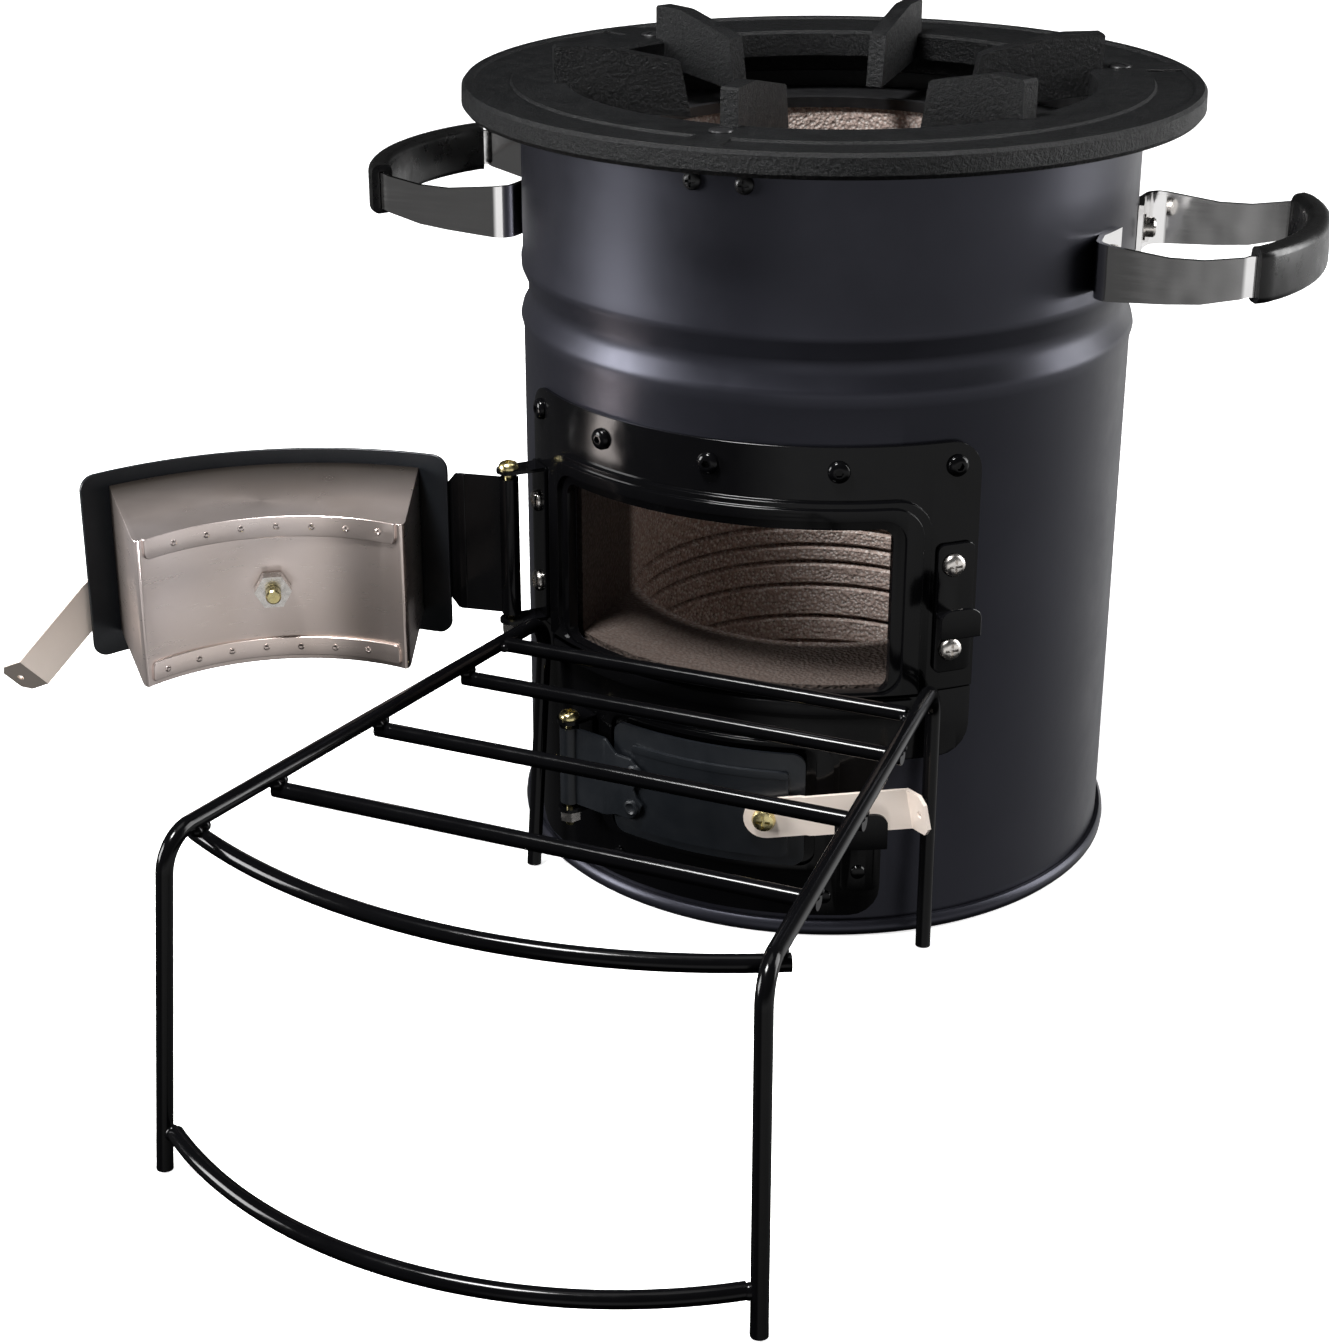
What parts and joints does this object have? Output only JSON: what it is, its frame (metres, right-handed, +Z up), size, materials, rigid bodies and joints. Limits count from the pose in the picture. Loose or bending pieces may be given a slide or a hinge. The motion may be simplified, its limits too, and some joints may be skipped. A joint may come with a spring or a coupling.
{
  "type": "wood-burning rocket stove",
  "caption": "Cylindrical wood stove with a ribbed cast cooktop ring, hinged plug fuel door, hinged ash door, swinging latches, side handles and a wire stick rack.",
  "frame": {"origin": "centre of the base pan's flat underside, on the drum axis", "axes": "+Z up along the drum axis, the two mouths and the rack face -Y, the doors hinge on the -X side"},
  "size_m": [0.4749, 0.5394, 0.3363],
  "materials": {
    "drum_paint": "semi-gloss charcoal paint",
    "gloss_black": "gloss black enamel",
    "cast_iron": "black painted casting",
    "door_paint": "satin blue-grey paint",
    "stainless": "brushed, heat tinted",
    "latch_steel": "satin",
    "brass": "bright yellow passivated",
    "zinc": "bright zinc plate",
    "chrome": "polished",
    "rubber": "smooth moulded",
    "refractory": "granular insulating casting",
    "black_steel": "satin black"
  },
  "bodies": {
    "stove": {"ash_catch": "gloss_black", "ash_hinge_bracket": "gloss_black", "ash_hinge_nut": "zinc", "ash_hinge_pin": "brass", "base_pan": "drum_paint", "bracket_screw_1": "zinc", "bracket_screw_2": "zinc", "catch_screw_1": "zinc", "catch_screw_2": "zinc", "chamber_floor": "refractory", "collar_screw_1": "black_steel", "collar_screw_2": "black_steel", "cooktop_ring": "cast_iron", "fuel_catch": "gloss_black", "fuel_hinge_bracket": "gloss_black", "fuel_hinge_nut": "zinc", "fuel_hinge_pin": "brass", "handle_bolt_left_1": "zinc", "handle_bolt_left_2": "zinc", "handle_bolt_right_1": "zinc", "handle_bolt_right_2": "zinc", "handle_grip_left": "rubber", "handle_grip_right": "rubber", "handle_strap_left": "chrome", "handle_strap_right": "chrome", "lower_surround": "gloss_black", "outer_shell": "drum_paint", "refractory_casting": "refractory", "ring_screw_1": "black_steel", "ring_screw_2": "black_steel", "ring_screw_3": "black_steel", "surround_screw_1": "gloss_black", "surround_screw_2": "gloss_black", "surround_screw_3": "gloss_black", "surround_screw_4": "gloss_black", "surround_screw_5": "gloss_black", "top_deck": "black_steel", "upper_surround": "gloss_black"},
    "fuel_door": {"fuel_door_panel": "door_paint", "fuel_door_box": "stainless", "fuel_door_strap": "gloss_black", "fuel_door_bolt": "brass", "fuel_door_nut": "zinc", "fuel_latch_screw": "brass"},
    "fuel_latch": {"fuel_latch_strip": "latch_steel"},
    "ash_door": {"ash_door_panel": "door_paint", "ash_door_strap": "door_paint", "ash_latch_screw": "brass"},
    "ash_latch": {"ash_latch_strip": "latch_steel"},
    "rack": {"rack_bar_1": "gloss_black", "rack_bar_2": "gloss_black", "rack_bar_3": "gloss_black", "rack_bar_4": "gloss_black", "rack_front_arc": "gloss_black", "rack_lower_arc": "gloss_black", "rack_side_left": "gloss_black", "rack_side_right": "gloss_black"}
  },
  "joints": [
    {"name": "fuel_door_hinge", "type": "hinge", "parent": "stove", "child": "fuel_door", "pos_m": [-0.0971, -0.1031, 0.1405], "axis": [0, 0, 1], "range_deg": [0, 147]},
    {"name": "fuel_latch_pivot", "type": "hinge", "parent": "fuel_door", "child": "fuel_latch", "pos_m": [-0.23712, -0.17075, 0.1366], "axis": [-0.848, 0.5299, 0], "range_deg": [0, 62.5]},
    {"name": "ash_door_hinge", "type": "hinge", "parent": "stove", "child": "ash_door", "pos_m": [-0.06222, -0.12318, 0.058], "axis": [0, 0, 1], "range_deg": [-110, 0]},
    {"name": "ash_latch_pivot", "type": "hinge", "parent": "ash_door", "child": "ash_latch", "pos_m": [0.02618, -0.13223, 0.056], "axis": [0.1942, -0.981, 0], "range_deg": [0, 29]},
    {"name": "rack_slide", "type": "slide", "parent": "stove", "child": "rack", "axis": [0, -1, 0], "range_m": [0, 0.61]}
  ],
  "couplings": [
    {"joint": "rack_slide", "follows": "fuel_door_hinge", "m_per_rad": 0.2337}
  ]
}
